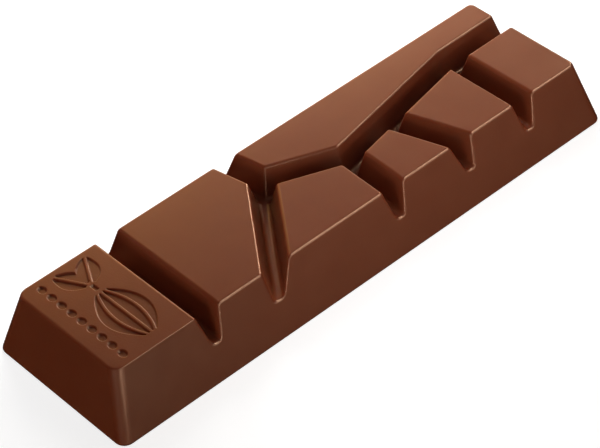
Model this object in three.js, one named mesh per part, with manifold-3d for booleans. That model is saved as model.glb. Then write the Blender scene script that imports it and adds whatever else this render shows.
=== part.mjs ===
// A small moulded bar of milk chocolate, broken up by grooves into seven uneven blocks.
//
// The bar lies along X on its flat back, with +Z up and the origin under its middle.
// Its sides lean inwards to the top, as a mould's do, so the bar can be knocked out.
// The grooves reach nearly halfway down. They part the blocks, which the slab below joins.
// The end block at -X carries a shallow picture: a ribbed pod, two leaves and beans.
//
// The bar is a slab with seven blocks standing on it. Each block is a loft: one outline,
// drawn again at each level with every edge moved to where that level has it.

import * as THREE from 'three';
import { mergeVertices } from 'three/addons/utils/BufferGeometryUtils.js';
import Module from 'manifold-3d';

const wasm = await Module();
wasm.setup();

// ---- driving dimensions, millimetres ----

const LENGTH = 115.4; // along X, at the back, before its edges are rounded
const WIDTH = 34.8; // along Y, at the back, before its edges are rounded
const HEIGHT = 13.2;
const FLOOR_HEIGHT = 7.1; // from the flat back to the floor of the grooves

const END_SLOPE = 0.261; // run per rise of the two short sides
const SIDE_SLOPE = 0.307; // run per rise of the two long sides

const GROOVE_MOUTH = 4.95; // between the tops of the two walls, before their rounding
const GROOVE_SLOPE = 0.26; // run per rise of a groove's wall

const BAR_CORNER = 2.1; // rounding of the bar's four upright corners, seen from above
const BLOCK_CORNER = 0.6; // the same, where a groove meets a side or another groove
const TOP_ROUND = 0.55; // rounding of the top edges
const BACK_ROUND = 0.7; // rounding of the edges that the bar stands on
const FLOOR_ROUND = 0.65; // rounding at the foot of a groove's walls

const CORNER_STEPS = 4; // straight pieces in each rounded corner
const ROUND_STEPS = 3; // straight pieces in each rounded edge

// Where the grooves' middle lines cross the bar, fork, bend and leave it.
const CROSS_X = -34.45; // the straight groove that parts off the end block
const FORK = [-6.0, 5.1]; // three grooves meet near the back
const BEND = [8.7, -1.15]; // the long groove turns, and a short one leaves it
const BRANCH = [20.1, 1.12]; // the slanting groove leaves the long one
const ELBOW = [40.3, 5.15]; // the long groove turns to run along the bar
const FORK_BACK = [-7.5, 13.0]; // on the line to the back edge
const FORK_FRONT = [-18.9, -13.0]; // on the line to the front edge
const BEND_FRONT = [8.3, -13.0];
const BRANCH_FRONT = [24.8, -13.0];
const ELBOW_FRONT = [40.5, -13.0];
const EXIT = [54.0, 5.25]; // on the line to the far end

// The picture. It reads from the -X end: its right is -Y and its top is +X.
const PICTURE_X = -43.9; // the line through the middle of the pod
const PICTURE_DEPTH = 0.35;
const RIDGE = 0.5; // width of what is left standing between two hollows
const POD = { left: -4.2, length: 15.6, width: 9.4, slices: 4, steps: 8 };
const LEAF = { length: 7.4, width: 3.8, angle: 0.5, steps: 7 };
const STALK = { left: -5.6, length: 1.6, width: 0.8 };
const BEAN = { count: 9, pitch: 2.7, length: 2.0, width: 1.5, drop: 6.6, steps: 10 };

const CHOCOLATE = { color: '#6e412b', roughness: 0.42, metalness: 0 };

// ---- the edges that outlines are drawn from ----

const point = ([x, y]) => new THREE.Vector2(x, y);

// An edge is a straight line through two points. The chocolate is on its left.
const side = (from, to, slope) => ({ from: point(from), to: point(to), slope });
const groove = (from, to) => ({ from: point(from), to: point(to) });

const FRONT = side([-LENGTH / 2, -WIDTH / 2], [LENGTH / 2, -WIDTH / 2], SIDE_SLOPE);
const FAR_END = side([LENGTH / 2, -WIDTH / 2], [LENGTH / 2, WIDTH / 2], END_SLOPE);
const BACK = side([LENGTH / 2, WIDTH / 2], [-LENGTH / 2, WIDTH / 2], SIDE_SLOPE);
const NEAR_END = side([-LENGTH / 2, WIDTH / 2], [-LENGTH / 2, -WIDTH / 2], END_SLOPE);

const CROSS_FRONT = [CROSS_X, -WIDTH / 2];
const CROSS_BACK = [CROSS_X, WIDTH / 2];

// Each block's edges, in order round it with the block on the left.
const BLOCKS = [
  [NEAR_END, FRONT, groove(CROSS_FRONT, CROSS_BACK), BACK],
  [groove(CROSS_BACK, CROSS_FRONT), FRONT, groove(FORK_FRONT, FORK), groove(FORK, FORK_BACK), BACK],
  [
    groove(FORK_BACK, FORK), groove(FORK, BEND), groove(BEND, ELBOW), groove(ELBOW, EXIT),
    FAR_END, BACK,
  ],
  [groove(FORK, FORK_FRONT), FRONT, groove(BEND_FRONT, BEND), groove(BEND, FORK)],
  [groove(BEND, BEND_FRONT), FRONT, groove(BRANCH_FRONT, BRANCH), groove(ELBOW, BEND)],
  [groove(BRANCH, BRANCH_FRONT), FRONT, groove(ELBOW_FRONT, ELBOW), groove(ELBOW, BEND)],
  [groove(ELBOW, ELBOW_FRONT), FRONT, FAR_END, groove(EXIT, ELBOW)],
];

// ---- where an edge is at a given height ----

// How far a quarter round draws back, this far past the level where it begins.
function roundBack(radius, past) {
  const depth = THREE.MathUtils.clamp(past, 0, radius);
  return radius - Math.sqrt(radius ** 2 - depth ** 2);
}

const crownBack = (z) => roundBack(TOP_ROUND, z - (HEIGHT - TOP_ROUND));

// A side of the bar leans in all the way up, and its top and bottom edges are rounded.
function sideInset(slope, z) {
  return slope * z + crownBack(z) + roundBack(BACK_ROUND, BACK_ROUND - z);
}

// A groove's wall stands off from its middle line: most at the mouth, least at the floor.
function grooveInset(z) {
  const wall = GROOVE_MOUTH / 2 - GROOVE_SLOPE * (HEIGHT - z);
  return wall + crownBack(z) - roundBack(FLOOR_ROUND, FLOOR_HEIGHT + FLOOR_ROUND - z);
}

// The edge as a line at height z: a unit normal into the chocolate, and its distance.
function lineAt(edge, z) {
  const along = edge.to.clone().sub(edge.from).normalize();
  const normal = new THREE.Vector2(-along.y, along.x);
  const inset = edge.slope === undefined ? grooveInset(z) : sideInset(edge.slope, z);
  return { normal, distance: normal.dot(edge.from) + inset };
}

function meet(a, b) {
  const det = a.normal.cross(b.normal);
  return new THREE.Vector2(
    (a.distance * b.normal.y - b.distance * a.normal.y) / det,
    (b.distance * a.normal.x - a.distance * b.normal.x) / det,
  );
}

// ---- outlines and solids ----

// The bar's own corners are rounder than those that the grooves make.
function cornerEase(a, b) {
  return a.slope === undefined || b.slope === undefined ? BLOCK_CORNER : BAR_CORNER;
}

// The outline at height z, every corner eased by a curve that starts and ends on its edges.
function outlineAt(edges, z) {
  const lines = edges.map((edge) => lineAt(edge, z));
  const corners = lines.map((line, i) => meet(lines.at(i - 1), line));
  const shape = new THREE.Shape();
  corners.forEach((corner, i) => {
    const ease = cornerEase(edges.at(i - 1), edges[i]);
    const next = corners[(i + 1) % corners.length];
    const start = corners.at(i - 1).clone().sub(corner).setLength(ease).add(corner);
    const end = next.clone().sub(corner).setLength(ease).add(corner);
    if (i === 0) shape.moveTo(start.x, start.y);
    else shape.lineTo(start.x, start.y);
    shape.quadraticCurveTo(corner.x, corner.y, end.x, end.y);
  });
  return shape.getPoints(CORNER_STEPS);
}

// A closed solid through outlines of equal count, from the lowest level to the highest.
function loft(edges, levels) {
  const rings = levels.map((z) => outlineAt(edges, z));
  const count = rings[0].length;
  const vertices = rings.flatMap((ring, k) => (
    ring.map(({ x, y }) => new THREE.Vector3(x, y, levels[k]))
  ));
  const index = [];
  for (let k = 0; k + 1 < rings.length; k += 1) {
    for (let i = 0; i < count; i += 1) {
      const a = k * count + i;
      const b = k * count + ((i + 1) % count);
      index.push(a, b, b + count, a, b + count, a + count);
    }
  }
  const top = (rings.length - 1) * count;
  THREE.ShapeUtils.triangulateShape(rings[0], []).forEach(([a, b, c]) => index.push(c, b, a));
  THREE.ShapeUtils.triangulateShape(rings.at(-1), []).forEach((face) => {
    index.push(...face.map((i) => i + top));
  });
  return new THREE.BufferGeometry().setFromPoints(vertices).setIndex(index);
}

function toManifold(geometry) {
  const bare = geometry.clone();
  bare.deleteAttribute('normal');
  bare.deleteAttribute('uv');
  const welded = mergeVertices(bare, 1e-5);
  return new wasm.Manifold(new wasm.Mesh({
    numProp: 3,
    vertProperties: new Float32Array(welded.attributes.position.array),
    triVerts: new Uint32Array(welded.index.array),
  }));
}

function toGeometry(manifold) {
  const { vertProperties, triVerts } = manifold.getMesh();
  const geometry = new THREE.BufferGeometry();
  geometry.setAttribute('position', new THREE.BufferAttribute(vertProperties, 3));
  geometry.setIndex(new THREE.BufferAttribute(triVerts, 1));
  geometry.computeVertexNormals();
  return geometry;
}

// Levels through a quarter round, closer together where it turns faster.
function roundLevels(tangent, rise) {
  return Array.from({ length: ROUND_STEPS + 1 }, (_, i) => (
    tangent + rise * Math.sin((i / ROUND_STEPS) * (Math.PI / 2))
  ));
}

function slab() {
  const foot = roundLevels(BACK_ROUND, -BACK_ROUND).reverse();
  return loft([FRONT, FAR_END, BACK, NEAR_END], [...foot, FLOOR_HEIGHT]);
}

function block(edges) {
  const foot = roundLevels(FLOOR_HEIGHT + FLOOR_ROUND, -FLOOR_ROUND).reverse();
  const crown = roundLevels(HEIGHT - TOP_ROUND, TOP_ROUND);
  return loft(edges, [...foot, ...crown]);
}

// ---- the picture, drawn with x to its right and y to its top ----

// A hollow between two curves that run from left to right over the same span.
function hollow(upper, lower, steps) {
  const span = Array.from({ length: steps + 1 }, (_, i) => i / steps);
  const points = [...span.map(lower), ...span.reverse().map(upper)];
  return new THREE.Shape(points.map(([x, y]) => new THREE.Vector2(x, y)));
}

// The pod narrows to blunt ends. Its slices fan out from them, with a ridge between.
function podSlice(k) {
  const curve = (share, shift) => (t) => {
    const u = 0.07 + 0.86 * t;
    const bulge = (POD.width / 2) * Math.sin(Math.PI * u) ** 0.75;
    return [POD.left + POD.length * u, share * bulge + shift];
  };
  const low = (2 * k) / POD.slices - 1;
  const high = (2 * (k + 1)) / POD.slices - 1;
  const ridgeAbove = k + 1 < POD.slices ? RIDGE / 2 : 0;
  const ridgeBelow = k > 0 ? RIDGE / 2 : 0;
  return hollow(curve(high, -ridgeAbove), curve(low, ridgeBelow), POD.steps);
}

// Half of a leaf that points left from the stalk, above (side 1) or below (-1) its rib.
function leafHalf(angle, half) {
  const place = (along, across) => {
    const turned = new THREE.Vector2(-along, across).rotateAround(new THREE.Vector2(), angle);
    return [STALK.left + turned.x, turned.y];
  };
  const rib = (t) => place(LEAF.length * (0.1 + 0.85 * t), (half * RIDGE) / 2);
  const rim = (t) => {
    const along = 0.1 + 0.85 * t;
    const swell = (LEAF.width / 2) * Math.sin(Math.PI * along) ** 0.9;
    return place(LEAF.length * along, half * (swell + RIDGE / 2));
  };
  return half > 0 ? hollow(rim, rib, LEAF.steps) : hollow(rib, rim, LEAF.steps);
}

function stalk() {
  const line = (y) => (t) => [STALK.left + STALK.length * t, y];
  return hollow(line(STALK.width / 2), line(-STALK.width / 2), 1);
}

function bean(k) {
  const middle = (k - (BEAN.count - 1) / 2) * BEAN.pitch;
  const oval = new THREE.EllipseCurve(middle, -BEAN.drop, BEAN.length / 2, BEAN.width / 2);
  return new THREE.Shape(oval.getPoints(BEAN.steps).slice(1));
}

function picture() {
  const slices = Array.from({ length: POD.slices }, (_, k) => podSlice(k));
  const leaves = [LEAF.angle, -LEAF.angle].flatMap((angle) => (
    [1, -1].map((half) => leafHalf(angle, half))
  ));
  const beans = Array.from({ length: BEAN.count }, (_, k) => bean(k));
  return [...slices, ...leaves, stalk(), ...beans];
}

// A cutter stands on the hollow's floor and reaches up past the block's top.
function cutter(shape) {
  const geometry = new THREE.ExtrudeGeometry(shape, { depth: 2, bevelEnabled: false });
  return geometry.rotateZ(-Math.PI / 2).translate(PICTURE_X, 0, HEIGHT - PICTURE_DEPTH);
}

// ---- the bar ----

const body = BLOCKS.map((edges) => toManifold(block(edges)))
  .reduce((bar, piece) => bar.add(piece), toManifold(slab()));
const pressed = picture().map((shape) => toManifold(cutter(shape)))
  .reduce((bar, tool) => bar.subtract(tool), body);

const bar = new THREE.Mesh(toGeometry(pressed), new THREE.MeshStandardMaterial(CHOCOLATE));
bar.name = 'bar';

const group = new THREE.Group();
group.add(bar);

export default group;
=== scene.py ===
# %% [markdown]
# # A small moulded chocolate bar
#
# The object is one piece of milk chocolate that was poured into a mould and has set. It lies
# on the flat side that was open in the mould. Deep grooves part its upper half into seven
# uneven blocks, and the end block carries a small pressed-in picture of a cocoa pod.
#
# The lesson goes in the order in which such a bar is thought out: its outline, the blocks,
# the rounded edges that every mould has, the picture, and last the chocolate's own finish.
#
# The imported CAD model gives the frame. Its box fixes the height and the place of everything.

# %% Load the frame
import math

import bmesh
import bpy
import numpy as np
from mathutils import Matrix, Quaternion, Vector, noise


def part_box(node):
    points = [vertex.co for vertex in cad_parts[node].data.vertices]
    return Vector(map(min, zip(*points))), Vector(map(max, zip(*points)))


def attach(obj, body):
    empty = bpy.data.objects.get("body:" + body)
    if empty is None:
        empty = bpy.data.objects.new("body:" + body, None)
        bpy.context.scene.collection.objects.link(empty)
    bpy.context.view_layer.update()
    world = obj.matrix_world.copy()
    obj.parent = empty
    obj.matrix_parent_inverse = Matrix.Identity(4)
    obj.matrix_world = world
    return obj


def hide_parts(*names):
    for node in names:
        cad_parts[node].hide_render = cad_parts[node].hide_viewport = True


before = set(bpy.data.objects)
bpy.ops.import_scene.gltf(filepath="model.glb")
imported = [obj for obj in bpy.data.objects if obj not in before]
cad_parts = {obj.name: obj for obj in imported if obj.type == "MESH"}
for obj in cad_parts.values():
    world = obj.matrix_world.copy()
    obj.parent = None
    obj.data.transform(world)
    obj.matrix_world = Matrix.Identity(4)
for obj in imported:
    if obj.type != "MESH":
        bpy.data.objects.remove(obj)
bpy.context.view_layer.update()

MM = 0.001

lowest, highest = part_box("bar")
HEIGHT = highest.z
print("The bar's box in mm:", [round(v / MM, 2) for v in (*lowest, *highest)])

# %% [markdown]
# ## The camera
#
# The camera stands to the left of the bar's near end and looks down on it, as someone would
# who is about to pick it up. It is far away for so small a thing and has a long lens, so the
# bar's long edges stay nearly parallel. A turn about the line of sight lifts the far end.

# %% Place the camera
CAMERA_AZIMUTH = math.radians(-38.316)
CAMERA_HEIGHT_ANGLE = math.radians(42.311)
CAMERA_ROLL = math.radians(-5.7)
CAMERA_DISTANCE = 443.84 * MM
CAMERA_AIM = Vector((-4.9 * MM, -3.17 * MM, HEIGHT / 2))
LENS = 151.6

back_from_aim = Vector((
    math.sin(CAMERA_AZIMUTH) * math.cos(CAMERA_HEIGHT_ANGLE),
    -math.cos(CAMERA_AZIMUTH) * math.cos(CAMERA_HEIGHT_ANGLE),
    math.sin(CAMERA_HEIGHT_ANGLE),
))
camera = bpy.data.objects.new("camera", bpy.data.cameras.new("camera"))
camera.data.lens = LENS
camera.location = CAMERA_AIM + back_from_aim * CAMERA_DISTANCE
camera.rotation_mode = "QUATERNION"
level_view = (-back_from_aim).to_track_quat("-Z", "Y")
camera.rotation_quaternion = level_view @ Quaternion((0, 0, 1), CAMERA_ROLL)
bpy.context.scene.collection.objects.link(camera)
bpy.context.scene.camera = camera
print("The camera stands at", [round(v / MM) for v in camera.location], "mm")

# %% [markdown]
# ## The walls of the mould
#
# Every wall in a mould leans outwards a little, so that the set chocolate drops out. That
# makes each wall a line in plan that moves with height: the bar's four sides move inwards as
# they rise, and the two walls of a groove move apart.
#
# So one wall is described by two points in plan, and by its slope. A groove is drawn once, by
# its centre line, and each block that borders it runs along that line in its own direction,
# with the block on its left hand.

# %% Name the walls
LENGTH = 115.4 * MM
WIDTH = 34.8 * MM
END_SLOPE = 0.261
SIDE_SLOPE = 0.307
GROOVE_MOUTH = 4.95 * MM
GROOVE_SLOPE = 0.26


def side(start, end, slope):
    """One of the bar's outer sides, from point to point in mm, which leans inwards."""
    return Vector(start) * MM, Vector(end) * MM, 0, slope


def groove(start, end):
    """One wall of a groove, whose centre line runs from point to point in mm."""
    inset_at_base = GROOVE_MOUTH / 2 - GROOVE_SLOPE * HEIGHT
    return Vector(start) * MM, Vector(end) * MM, inset_at_base, GROOVE_SLOPE


half_length, half_width = LENGTH / 2 / MM, WIDTH / 2 / MM
base_corners = [
    (-half_length, -half_width),
    (half_length, -half_width),
    (half_length, half_width),
    (-half_length, half_width),
]
FRONT = side(base_corners[0], base_corners[1], SIDE_SLOPE)
FAR_END = side(base_corners[1], base_corners[2], END_SLOPE)
BACK = side(base_corners[2], base_corners[3], SIDE_SLOPE)
NEAR_END = side(base_corners[3], base_corners[0], END_SLOPE)
print("The bar's top is smaller than its base by",
      round(2 * END_SLOPE * HEIGHT / MM, 1), "by", round(2 * SIDE_SLOPE * HEIGHT / MM, 1), "mm")

# %% [markdown]
# ## The seven blocks in plan
#
# The grooves meet at four points: a fork, a bend, a branch and an elbow. From there they run
# out through the bar's sides. A point outside the bar only gives a groove its direction.
#
# Each block is the list of its walls, in order, so two neighbours in the list meet at a corner.

# %% Draw the grooves and list the blocks
CROSS_BACK, CROSS_FRONT = (-34.45, half_width), (-34.45, -half_width)
FORK, FORK_BACK, FORK_FRONT = (-6.0, 5.1), (-7.5, 13.0), (-18.9, -13.0)
BEND, BEND_FRONT = (8.7, -1.15), (8.3, -13.0)
BRANCH, BRANCH_FRONT = (20.1, 1.12), (24.8, -13.0)
ELBOW, ELBOW_FRONT, EXIT = (40.3, 5.15), (40.5, -13.0), (54.0, 5.25)

BLOCKS = {
    "picture block": [NEAR_END, FRONT, groove(CROSS_FRONT, CROSS_BACK), BACK],
    "large block": [
        groove(CROSS_BACK, CROSS_FRONT), FRONT, groove(FORK_FRONT, FORK),
        groove(FORK, FORK_BACK), BACK,
    ],
    "long block": [
        groove(FORK_BACK, FORK), groove(FORK, BEND), groove(BEND, ELBOW),
        groove(ELBOW, EXIT), FAR_END, BACK,
    ],
    "fork block": [
        groove(FORK, FORK_FRONT), FRONT, groove(BEND_FRONT, BEND), groove(BEND, FORK),
    ],
    "small block": [
        groove(BEND, BEND_FRONT), FRONT, groove(BRANCH_FRONT, BRANCH), groove(ELBOW, BEND),
    ],
    "middle block": [
        groove(BRANCH, BRANCH_FRONT), FRONT, groove(ELBOW_FRONT, ELBOW), groove(ELBOW, BEND),
    ],
    "end block": [groove(ELBOW, ELBOW_FRONT), FRONT, FAR_END, groove(EXIT, ELBOW)],
}
print(len(BLOCKS), "blocks with", [len(walls) for walls in BLOCKS.values()], "walls")

# %% [markdown]
# ## From walls to corners
#
# At any height a wall is a straight line in plan. Two neighbouring walls cross at the block's
# corner at that height. Working out the corner at the foot and again at the top gives a block
# whose faces are all flat, however oddly the grooves run.
#
# The slab and the blocks work out the same corners from different walls. Rounding them to a
# ten-thousandth of a millimetre makes such corners exactly equal, and the solids then join
# without slivers.


# %% Find a block's outline at a height
CORNER_DECIMALS = 7


def line_of(wall, height):
    """The wall's line at a height: its normal into the block, and its distance along that."""
    start, end, inset_at_base, slope = wall
    along = (end - start).normalized()
    normal = Vector((-along.y, along.x))
    return normal, normal.dot(start) + inset_at_base + slope * height


def corner_of(wall, next_wall, height):
    """The point at a height where two walls cross."""
    (n, a), (m, b) = line_of(wall, height), line_of(next_wall, height)
    x = (a * m.y - b * n.y) / n.cross(m)
    y = (b * n.x - a * m.x) / n.cross(m)
    return Vector((round(x, CORNER_DECIMALS), round(y, CORNER_DECIMALS), height))


def outline(walls, height):
    """The block's corners at a height, one for each wall, where the wall before it ends."""
    return [corner_of(walls[i - 1], walls[i], height) for i in range(len(walls))]


for name, walls in BLOCKS.items():
    print(name, "top corners in mm:",
          [(round(c.x / MM, 1), round(c.y / MM, 1)) for c in outline(walls, HEIGHT)])

# %% [markdown]
# ## The slab and the blocks
#
# A block could be a box that is pushed into shape, but its corners aren't square. So its top
# face is made from its own corners and extruded, which gives the walls and the foot at once,
# and the extruded corners are then moved out to where the leaning walls meet the slab.
#
# The slab below the grooves is made in the same way from the four outer sides.


# %% Raise the solids
FLOOR_HEIGHT = 7.1 * MM


def raise_block(bm, walls, foot, top):
    """Adds the solid between two heights whose walls lean as the mould's do."""
    top_corners = [bm.verts.new(corner) for corner in outline(walls, top)]
    lid = bmesh.ops.contextual_create(bm, geom=top_corners)["faces"][0]
    lid_corners = list(lid.verts)
    made = bmesh.ops.extrude_face_region(bm, geom=[lid], use_keep_orig=True)["geom"]
    foot_corners = [v for v in made if isinstance(v, bmesh.types.BMVert)]
    for vertex in foot_corners:
        nearest = min(range(len(walls)), key=lambda i: (top_corners[i].co - vertex.co).length)
        vertex.co = corner_of(walls[nearest - 1], walls[nearest], foot)
    return lid_corners


def finish_mesh(bm, name):
    """Turns the faces outwards and puts the shape in the scene as an object."""
    bmesh.ops.recalc_face_normals(bm, faces=bm.faces[:])
    mesh = bpy.data.meshes.new(name)
    bm.to_mesh(mesh)
    bm.free()
    thing = bpy.data.objects.new(name, mesh)
    bpy.context.scene.collection.objects.link(thing)
    return thing


bm = bmesh.new()
raise_block(bm, [FRONT, FAR_END, BACK, NEAR_END], 0, FLOOR_HEIGHT)
bar = finish_mesh(bm, "moulded_bar")

bm = bmesh.new()
for walls in BLOCKS.values():
    raise_block(bm, walls, FLOOR_HEIGHT, HEIGHT)
blocks = finish_mesh(bm, "blocks")
print("The slab has", len(bar.data.polygons), "faces and the blocks have", len(blocks.data.polygons))

# %% [markdown]
# ## One solid
#
# The real bar is poured in one go, so the slab and the blocks have to become one solid with
# no faces left inside it. The Boolean modifier's union does that. Where a block's wall lies in
# the same plane as the slab's side, the union leaves an edge that means nothing, and a limited
# dissolve takes such edges away. What is left are the edges that a finger could feel.

# %% Unite the solids and clear the flat edges
SAME_PLACE = 0.001 * MM
FLAT = math.radians(0.5)


def apply_modifiers(thing):
    """Makes what the modifiers show into the object's own mesh, and gives it as a bmesh."""
    seen = thing.evaluated_get(bpy.context.evaluated_depsgraph_get())
    mesh = bpy.data.meshes.new_from_object(seen)
    thing.modifiers.clear()
    thing.data = mesh
    bm = bmesh.new()
    bm.from_mesh(mesh)
    return bm


union = bar.modifiers.new("union", "BOOLEAN")
union.operation = "UNION"
union.solver = "EXACT"
union.object = blocks
bm = apply_modifiers(bar)
bpy.data.objects.remove(blocks)
bmesh.ops.remove_doubles(bm, verts=bm.verts[:], dist=SAME_PLACE)
bmesh.ops.dissolve_limit(
    bm, angle_limit=FLAT, verts=bm.verts[:], edges=bm.edges[:], delimit=set())
print("One solid with", len(bm.faces), "faces and", len(bm.edges), "edges, of which",
      sum(not edge.is_manifold for edge in bm.edges), "are open")

# %% [markdown]
# ## Rounded edges
#
# A mould has no sharp edges, and a warm hand rounds the chocolate's own edges further. The
# bright lines that make moulded chocolate look like chocolate are light caught by these
# narrow roundings, so their size matters: too wide and the bar looks like soap.
#
# Each edge gets its own reach, which is the distance from the edge to where the rounding
# starts. A Bevel modifier that reads the edges' weights then rounds many edges together, so
# the corners where three roundings meet come out whole.
#
# The edges inside the bar's outline come first: the grooves' tops, corners and feet. The
# feet are filled out, because the ridge in the mould that makes a groove has a rounded crest.
# Where these roundings run out through a side, they give each notch its round corners.

# %% Round the edges along the grooves
BLOCK_CORNER = 0.45 * MM
TOP_EDGE = 0.42 * MM
SOFT_TOP_EDGE = 0.58 * MM
FLOOR_EDGE = 0.65 * MM
LEVEL = 0.1 * MM


def is_outer(face):
    """Whether the face is the bar's back or comes down to it, as the four sides do."""
    return min(vertex.co.z for vertex in face.verts) < LEVEL


def on_picture_top(edge):
    """Whether the edge goes round the top of the picture block."""
    return all(vertex.co.z > HEIGHT - LEVEL and vertex.co.x < CROSS_FRONT[0] * MM
               for vertex in edge.verts)


def inner_reach(edge):
    """How far the rounding of an edge along a groove reaches, and nothing for other edges."""
    if any(is_outer(face) for face in edge.link_faces) or on_picture_top(edge):
        return 0
    foot, head = sorted(vertex.co.z for vertex in edge.verts)
    if head - foot > LEVEL:
        return BLOCK_CORNER
    if head < HEIGHT - LEVEL:
        return FLOOR_EDGE
    faces_near_end = min(face.normal.x for face in edge.link_faces) < -0.5
    return SOFT_TOP_EDGE if faces_near_end else TOP_EDGE


def round_edges(bm, reach_of, steps=5):
    """Rounds every edge of the bar by its reach in some steps, and leaves those with none."""
    bm.normal_update()
    reaches = [reach_of(edge) for edge in bm.edges]
    weight = bm.edges.layers.float.new("bevel_weight_edge")
    for edge, reach in zip(bm.edges, reaches):
        edge[weight] = reach / max(reaches)
    bm.to_mesh(bar.data)
    bm.free()
    bevel = bar.modifiers.new("rounded edges", "BEVEL")
    bevel.limit_method = "WEIGHT"
    bevel.offset_type = "OFFSET"
    bevel.width = max(reaches)
    bevel.segments = steps
    bevel.profile = 0.5
    bevel.use_clamp_overlap = False
    in_mm = [round(reach / MM, 2) for reach in reaches if reach]
    print("Edges with each reach in mm:", {r: in_mm.count(r) for r in sorted(set(in_mm))})
    rounded = apply_modifiers(bar)
    rounded.edges.layers.float.remove(rounded.edges.layers.float["bevel_weight_edge"])
    return rounded


bm = round_edges(bm, inner_reach)

# %% [markdown]
# ## The edges of the sides
#
# The bar's four upright corners come next. They are the softest and go round in more steps.
# Rounding them on their own first turns each top corner into a small curve, and the rounding
# of the top edge can then follow that curve all the way. The mould's far end is crisper, so
# there each top curve is drawn in, halfway towards the sharp corner that it came from.
#
# Every other edge of a side comes last, all round each notch. They have one reach, so that the
# bright line runs on evenly from the tops into the notches. The picture block's front edge is
# nearly sharp, because the mould's picture plate was set into the mould there, and its joint
# leaves a fine straight edge. It grows softer round the near corner.

# %% Round the edges of the sides
BAR_CORNER = 2.1 * MM
BACK_EDGE = 0.6 * MM
CRISP_TOP_EDGE = 0.03 * MM
CORNER_STEPS = 8
CURVE_ROOM = 1.1 * BAR_CORNER
CURVE_KEPT = 0.5


def corner_reach(edge):
    """How far the rounding of an upright corner of the bar reaches, and nothing for others."""
    foot, head = sorted(vertex.co.z for vertex in edge.verts)
    upright = head - foot > LEVEL and all(is_outer(face) for face in edge.link_faces)
    return BAR_CORNER if upright else 0


def outer_reach(edge):
    """How far the rounding of any other edge of a side reaches, and nothing for the rest."""
    outer_faces = [face for face in edge.link_faces if is_outer(face)]
    if len(outer_faces) == 2:
        return BACK_EDGE if max(vertex.co.z for vertex in edge.verts) < LEVEL else 0
    if on_picture_top(edge):
        to_front = max(-face.normal.y for face in edge.link_faces)
        return TOP_EDGE - (TOP_EDGE - CRISP_TOP_EDGE) * max(to_front, 0)
    return TOP_EDGE if outer_faces else 0


bm.normal_update()
far_corners = [vertex.co.copy() for edge in bm.edges if corner_reach(edge)
               for vertex in edge.verts if vertex.co.x > 0 and vertex.co.z > HEIGHT - LEVEL]
bm = round_edges(bm, corner_reach, steps=CORNER_STEPS)
for corner in far_corners:
    for vertex in bm.verts:
        if (vertex.co - corner).length < CURVE_ROOM:
            vertex.co = corner.lerp(vertex.co, CURVE_KEPT)
bm = round_edges(bm, outer_reach)
print("The rounded bar has", len(bm.faces), "faces, and", sum(not e.is_manifold for e in bm.edges),
      "open edges")

# %% [markdown]
# ## The pressed-in picture
#
# The mould's end block carries a small raised plate, which leaves a sunken picture in the
# chocolate. Here it is a cocoa pod whose ribs stay as ridges between pressed-in slices, with
# two leaves on its stalk, over a row of beans.
#
# Each shape of it is drawn as a closed outline from a few sizes in mm. The picture is read from
# the bar's near end: its right is the bar's front, and its top points at the other blocks. A
# bluntness below one fills a shape out towards its tips, where a plain wave would be thin.

# %% Draw the cocoa pod
RIDGE = 0.5
POD_LEFT, POD_LENGTH, POD_WIDTH, POD_SLICES = -4.2, 15.6, 9.4, 4
POD_START, POD_END, POD_BLUNTNESS = 0.07, 0.93, 0.75
LEAF_LENGTH, LEAF_WIDTH, LEAF_ANGLE = 7.4, 3.8, 0.5
LEAF_START, LEAF_END, LEAF_BLUNTNESS = 0.1, 0.95, 0.9
STALK_LEFT, STALK_LENGTH, STALK_WIDTH = -5.6, 1.6, 0.8
BEAN_COUNT, BEAN_PITCH, BEAN_LENGTH, BEAN_WIDTH, BEAN_DROP = 9, 2.7, 2.0, 1.5, 6.6
FINENESS = 24


def between(curve, other):
    """The closed outline between two curves that run the same way."""
    return np.concatenate([curve, other[::-1]])


def pod_slice(share, next_share):
    """The part of the pod between two ribs. A share of -1 or 1 is the pod's own edge."""
    along = np.linspace(POD_START, POD_END, FINENESS)
    bulge = POD_WIDTH / 2 * np.sin(np.pi * along) ** POD_BLUNTNESS
    x = POD_LEFT + POD_LENGTH * along
    return between(np.column_stack([x, share * bulge + RIDGE / 2]),
                   np.column_stack([x, next_share * bulge - RIDGE / 2]))


def half_leaf(angle, half):
    """The part of a leaf on one side of its rib. The leaf points left and is turned by angle."""
    along = np.linspace(LEAF_START, LEAF_END, FINENESS)
    bulge = LEAF_WIDTH / 2 * np.sin(np.pi * along) ** LEAF_BLUNTNESS
    rib = np.column_stack([-LEAF_LENGTH * along, np.full(FINENESS, half * RIDGE / 2)])
    rim = np.column_stack([-LEAF_LENGTH * along, half * (bulge + RIDGE / 2)])
    turn = np.array([[math.cos(angle), math.sin(angle)], [-math.sin(angle), math.cos(angle)]])
    return between(rib, rim) @ turn + (STALK_LEFT, 0)


def bean(k):
    """One of the beans in the row."""
    turn = np.linspace(0, 2 * np.pi, FINENESS, endpoint=False)
    middle = ((k - (BEAN_COUNT - 1) / 2) * BEAN_PITCH, -BEAN_DROP)
    return middle + np.column_stack([BEAN_LENGTH, BEAN_WIDTH]) / 2 * np.column_stack(
        [np.cos(turn), np.sin(turn)])


shares = np.linspace(-1, 1, POD_SLICES + 1)
stalk_top = np.array([(STALK_LEFT, STALK_WIDTH / 2), (STALK_LEFT + STALK_LENGTH, STALK_WIDTH / 2)])
stalk = between(stalk_top, stalk_top * (1, -1))
shapes = [pod_slice(*pair) for pair in zip(shares, shares[1:])]
shapes += [half_leaf(angle, half) for angle in (-LEAF_ANGLE, LEAF_ANGLE) for half in (-1, 1)]
shapes += [stalk] + [bean(k) for k in range(BEAN_COUNT)]
corners = np.concatenate(shapes)
print("The picture has", len(shapes), "shapes and measures",
      np.round(corners.max(0) - corners.min(0), 1), "mm")

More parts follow.
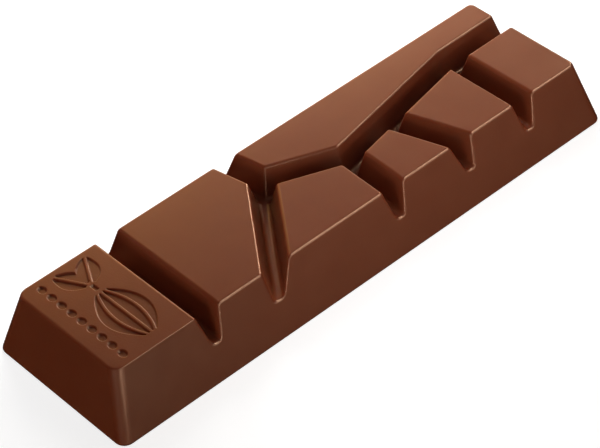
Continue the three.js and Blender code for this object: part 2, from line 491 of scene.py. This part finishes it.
# %% [markdown]
# ## A finer skin for the picture
#
# The block's top is one flat face, which can't hold a picture. A narrow frame is inset in it,
# so that the rounded edges stay as they are. Four straight cuts then part a rectangle from the
# block's round corners, and the rectangle is cut into small squares, first across and then
# along.

# %% Cut the block's top into small squares
PICTURE_X = -43.9 * MM
FRAME = 0.25 * MM
CORNER_ROOM = 0.55 * MM
SQUARE = 0.09 * MM


def span(face, axis):
    """From where to where a face reaches along an axis."""
    places = [vertex.co[axis] for vertex in face.verts]
    return min(places), max(places)


def cut_in_squares(bm, sides):
    """Cuts sides of one length, and the faces between them, at every square."""
    cuts = round(sides[0].calc_length() / SQUARE) - 1
    made = bmesh.ops.subdivide_edges(bm, edges=sides, cuts=cuts)["geom_inner"]
    return [item for item in made if isinstance(item, bmesh.types.BMEdge)]


top_face = next(face for face in bm.faces if face.normal.z > 0.999
                and face.calc_center_median().z > HEIGHT - LEVEL
                and face.calc_center_median().x < CROSS_FRONT[0] * MM)
bmesh.ops.inset_region(bm, faces=[top_face], thickness=FRAME, use_even_offset=True)
along_x, along_y = Vector((1, 0, 0)), Vector((0, 1, 0))
(x_start, x_end), (y_start, y_end) = span(top_face, 0), span(top_face, 1)
parts = [top_face, *top_face.edges, *top_face.verts]
for direction, place in [
    (along_x, x_start + CORNER_ROOM),
    (along_x, x_end - CORNER_ROOM),
    (along_y, y_start + CORNER_ROOM),
    (along_y, y_end - CORNER_ROOM),
]:
    parts = bmesh.ops.bisect_plane(
        bm, geom=parts, plane_co=direction * place, plane_no=direction)["geom"]
top_face = max((part for part in parts if isinstance(part, bmesh.types.BMFace)),
               key=lambda face: face.calc_area())
sides = sorted(top_face.edges, key=lambda edge: edge.calc_length())
cross_sides, long_sides = sides[:2], sides[2:]
long_length = long_sides[0].calc_length()
seams = cut_in_squares(bm, cross_sides)
long_seams = [edge for edge in seams if edge.calc_length() > long_length / 2]
cut_in_squares(bm, long_sides + long_seams)
skin = [vertex for vertex in bm.verts
        if vertex.co.z > HEIGHT - SAME_PLACE and len(vertex.link_edges) == 4
        and max(edge.calc_length() for edge in vertex.link_edges) < 2 * SQUARE]
print("The picture's skin has", len(skin), "corners, and the bar now", len(bm.faces), "faces")

# %% [markdown]
# ## Pressing the picture in
#
# For each corner of the fine skin, the distance to the nearest outline says how far inside a
# shape it lies. The skin stays up outside the shapes, goes down by the picture's depth inside,
# and runs down in a soft step between, because chocolate doesn't keep a sharp edge.
#
# The plate in the mould is cast, not polished, so this top also takes a fine grain from it.
# Noise lifts and lowers each corner of the skin by a few thousandths of a millimetre.

# %% Press the shapes into the skin
PICTURE_DEPTH = 0.35 * MM
STEP_OUTSIDE, STEP_INSIDE = 0.06, 0.18
GRAIN_DEPTH, GRAIN_SIZE = 0.006 * MM, 0.3 * MM


def distance_inside(points, shape):
    """How far each point lies inside a closed outline, less than zero outside it."""
    nearest = np.full(len(points), np.inf)
    inside = np.zeros(len(points), bool)
    for start, end in zip(shape, np.roll(shape, -1, axis=0)):
        run = end - start
        share = np.clip((points - start) @ run / (run @ run), 0, 1)
        nearest = np.minimum(nearest, np.linalg.norm(points - start - share[:, None] * run, axis=1))
        level_with_run = (start[1] > points[:, 1]) != (end[1] > points[:, 1])
        if level_with_run.any():
            crossing = start[0] + (points[:, 1] - start[1]) * run[0] / run[1]
            inside ^= level_with_run & (points[:, 0] < crossing)
    return np.where(inside, nearest, -nearest)


points = np.array([(-vertex.co.y, vertex.co.x - PICTURE_X) for vertex in skin]) / MM
inside = np.max([distance_inside(points, shape) for shape in shapes], axis=0)
share = np.clip((inside + STEP_OUTSIDE) / (STEP_OUTSIDE + STEP_INSIDE), 0, 1)
for vertex, down in zip(skin, PICTURE_DEPTH * share * share * (3 - 2 * share)):
    vertex.co.z -= down + GRAIN_DEPTH * noise.noise(vertex.co / GRAIN_SIZE)
bm.to_mesh(bar.data)
bm.free()
print("The picture is pressed in by", round(PICTURE_DEPTH / MM, 2), "mm over",
      round(100 * float((share > 0.5).mean())), "% of the skin")

# %% [markdown]
# ## Smooth shading
#
# The roundings are narrow bands of flat strips. Smooth shading blends them, and weighted
# normals keep the big faces flat up to their edges, because each corner's normal then
# follows its largest face.

# %% Shade the bar smoothly
for face in bar.data.polygons:
    face.use_smooth = True
flat_faces = bar.modifiers.new("flat faces stay flat", "WEIGHTED_NORMAL")
flat_faces.weight = 100
print("The bar has", len(bar.data.polygons), "faces, all shaded smoothly")

# %% [markdown]
# ## The chocolate
#
# Milk chocolate is an opaque warm brown. Its cocoa butter sets against the mould with a low,
# soft gloss. Up close the brown isn't even: fat and sugar set in faint clouds, a little lighter
# or darker, and where the butter set finer the gloss is a little sharper.
#
# Some light enters the surface and comes out again nearby, redder than it went in. That softens
# the edges and warms the grooves, and a block without it looks like painted wood.

# %% Start the chocolate with its gloss and its depth
chocolate = bpy.data.materials.new("milk chocolate")
chocolate.use_nodes = True
tree = chocolate.node_tree
shader = tree.nodes["Principled BSDF"]
shader.inputs["Specular IOR Level"].default_value = 0.5
shader.inputs["Subsurface Weight"].default_value = 0.3
shader.inputs["Subsurface Radius"].default_value = (1, 0.25, 0.1)
shader.inputs["Subsurface Scale"].default_value = 0.003


def add(kind, settings=None, **inputs):
    """Adds a node with its settings, and sets or links its inputs by name."""
    node = tree.nodes.new(kind)
    for name, value in (settings or {}).items():
        setattr(node, name, value)
    for name, value in inputs.items():
        socket = node.inputs[name.replace("_", " ")]
        if isinstance(value, bpy.types.NodeSocket):
            tree.links.new(value, socket)
        else:
            socket.default_value = value
    return node


place = add("ShaderNodeTexCoord").outputs["Object"]
print("The chocolate lets light in with a weight of", shader.inputs["Subsurface Weight"].default_value)

# %% Cloud the brown and vary the gloss
DARKER_BROWN, LIGHTER_BROWN = (0.152, 0.0307, 0.0112, 1), (0.174, 0.0367, 0.0134, 1)
CLOUDS_PER_METRE = 240
SHARPER_GLOSS, SOFTER_GLOSS = 0.28, 0.36

clouds = add("ShaderNodeTexNoise", Vector=place, Scale=CLOUDS_PER_METRE, Detail=4, Roughness=0.6)
brown = add("ShaderNodeMixRGB", Fac=clouds.outputs["Fac"], Color1=DARKER_BROWN, Color2=LIGHTER_BROWN)
gloss = add("ShaderNodeMapRange", Value=clouds.outputs["Fac"], To_Min=SHARPER_GLOSS, To_Max=SOFTER_GLOSS)
tree.links.new(brown.outputs["Color"], shader.inputs["Base Color"])
tree.links.new(gloss.outputs["Result"], shader.inputs["Roughness"])
print("One cloud is about", round(1000 / CLOUDS_PER_METRE), "mm across")

# %% [markdown]
# ## A surface that isn't quite flat
#
# Chocolate shrinks as it sets and pulls away from the mould, so even its flat faces wave by a
# few thousandths of a millimetre. That shows only in the gloss. It is too fine to model, so it
# is a bump: broad soft waves, and a much finer grain like the skin of an egg.

# %% Wave the surface
WAVES_PER_METRE, WAVE_HEIGHT = 110, 0.02 * MM
GRAINS_PER_METRE, GRAIN_HEIGHT = 1900, 0.0015 * MM

waves = add("ShaderNodeTexNoise", Vector=place, Scale=WAVES_PER_METRE, Detail=1)
grains = add("ShaderNodeTexNoise", Vector=place, Scale=GRAINS_PER_METRE, Detail=1)
wavy = add("ShaderNodeBump", Height=waves.outputs["Fac"], Strength=1, Distance=WAVE_HEIGHT)
grainy = add("ShaderNodeBump", Height=grains.outputs["Fac"], Strength=1, Distance=GRAIN_HEIGHT,
             Normal=wavy.outputs["Normal"])
tree.links.new(grainy.outputs["Normal"], shader.inputs["Normal"])
bar.data.materials.clear()
bar.data.materials.append(chocolate)
print("The waves are", round(1000 / WAVES_PER_METRE), "mm long and the grains",
      round(1000 / GRAINS_PER_METRE, 1), "mm")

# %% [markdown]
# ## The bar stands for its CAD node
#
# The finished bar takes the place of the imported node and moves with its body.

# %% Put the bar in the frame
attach(bar, "root")
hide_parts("bar")
print("The bar rides on root")

# %% [markdown]
# ## The floor
#
# The bar lies on a large sheet of pale paper. The paper glows a little by itself, as a light
# table does, so that it stays pale where the lamps don't reach it, and the bar's shadow on it
# stays soft and faint. It doesn't throw light back onto the bar: a white sheet so close
# would fill the grooves, and their depth shows only while they are dark.

# %% Lay the floor
FLOOR_SIZE = 6
bm = bmesh.new()
bmesh.ops.create_grid(bm, x_segments=1, y_segments=1, size=FLOOR_SIZE / 2)
floor = finish_mesh(bm, "floor")
floor.visible_diffuse = False
floor.visible_glossy = False
paper = bpy.data.materials.new("pale paper")
paper.use_nodes = True
paper_shader = paper.node_tree.nodes["Principled BSDF"]
paper_shader.inputs["Base Color"].default_value = (0.5, 0.5, 0.5, 1)
paper_shader.inputs["Roughness"].default_value = 0.9
paper_shader.inputs["Emission Color"].default_value = (1, 1, 1, 1)
paper_shader.inputs["Emission Strength"].default_value = 0.75
floor.data.materials.append(paper)
print("The floor is", FLOOR_SIZE, "m wide")

# %% [markdown]
# ## The light
#
# Chocolate is lit from behind and low. The main lamps stand close behind the bar, so the tops
# are bright, brightest at the back, while the grooves and the end that faces us stay dark.
# Large soft lamps far off in front lift the sides, and a strip lamp right in front of the long
# side makes its upper edge a little lighter than its foot.
#
# A studio puts a polarising film on such lamps, which takes their glare off the chocolate. So
# here they light the bar's colour and not its gloss, and the gloss has lamps of its own. They
# are amber, as a shine on brown chocolate looks warm, and those for the thin lines are paler.
#
# A rounded edge shows a lamp only where it leans halfway between the lamp and us. So each kind
# of edge needs its own lamp, and five of them draw the thin bright lines: along the front
# edges of the tops, along the slanting groove, and down the upright corners. A large lamp in
# front gives the long side its faint sheen, and four behind give the tops theirs.

# %% Light the bar
WHITE, AMBER, PALE_AMBER = (1, 1, 1), (1, 0.58, 0.2), (1, 0.64, 0.4)


def lamp(name, spot, size, watts, colour=WHITE, aim=(0, 0, 5)):
    """A soft lamp, in mm, that faces its aim. White lights the colour, and amber the gloss."""
    light = bpy.data.lights.new(name, "AREA")
    light.shape = "RECTANGLE"
    light.size, light.size_y = size[0] * MM, size[1] * MM
    light.energy = watts
    light.color = colour
    softbox = bpy.data.objects.new(name, light)
    softbox.location = Vector(spot) * MM
    softbox.rotation_mode = "QUATERNION"
    softbox.rotation_quaternion = (Vector(spot) - Vector(aim)).to_track_quat("Z", "Y")
    softbox.visible_camera = False
    softbox.visible_glossy = colour != WHITE
    softbox.visible_diffuse = colour == WHITE
    bpy.context.scene.collection.objects.link(softbox)
    return softbox


lamps = [
    lamp("main lamp", (75, 110, 60), (50, 50), 0.138),
    lamp("high back lamp", (66, 97, 139), (90, 90), 0.148),
    lamp("back left lamp", (-60, 70, 45), (40, 40), 0.015),
    lamp("right fill", (508, -293, 125), (270, 270), 1.3),
    lamp("left fill", (-551, -201, 125), (270, 270), 1.35),
    lamp("side strip", (18, -38, 26), (96, 8), 0.0062, aim=(18, -17, 7)),
    lamp("overhead fill", (0, 0, 500), (500, 500), 0.1),
    lamp("front edge line", (252, -225, 340), (320, 50), 2.8, PALE_AMBER),
    lamp("slanting edge line", (320, 124, 195), (50, 50), 0.9, PALE_AMBER),
    lamp("corner line", (-41, -97, 26), (20, 20), 0.055, PALE_AMBER, aim=(43, -13, 7)),
    lamp("near corner line", (-160, -110, 14), (200, 24), 0.03, PALE_AMBER, aim=(-56, -16, 7)),
    lamp("fork corner line", (-70, -82, 14), (16, 16), 0.012, PALE_AMBER, aim=(-5, 6, 10)),
    lamp("front sheen", (201, -551, 125), (270, 270), 2.0, PALE_AMBER),
    lamp("back sheen", (0, 159, 79), (90, 90), 0.027, AMBER),
    lamp("back right sheen", (90, 125, 70), (60, 60), 0.044, AMBER),
    lamp("back left sheen", (30, 120, 80), (60, 60), 0.034, AMBER),
    lamp("right sheen", (118, 100, 60), (60, 60), 0.045, PALE_AMBER),
]
print(len(lamps), "lamps with", round(sum(softbox.data.energy for softbox in lamps), 1), "W")

# %% Set the surroundings
world = bpy.data.worlds.new("studio")
world.use_nodes = True
surroundings = world.node_tree.nodes["Background"].inputs
surroundings["Color"].default_value = (1, 1, 1, 1)
surroundings["Strength"].default_value = 0.9
bpy.context.scene.world = world
world.cycles_visibility.diffuse = False
world.cycles_visibility.glossy = False
bpy.context.scene.view_settings.view_transform = "Standard"
print("The pale surroundings are only seen, they don't light the bar")
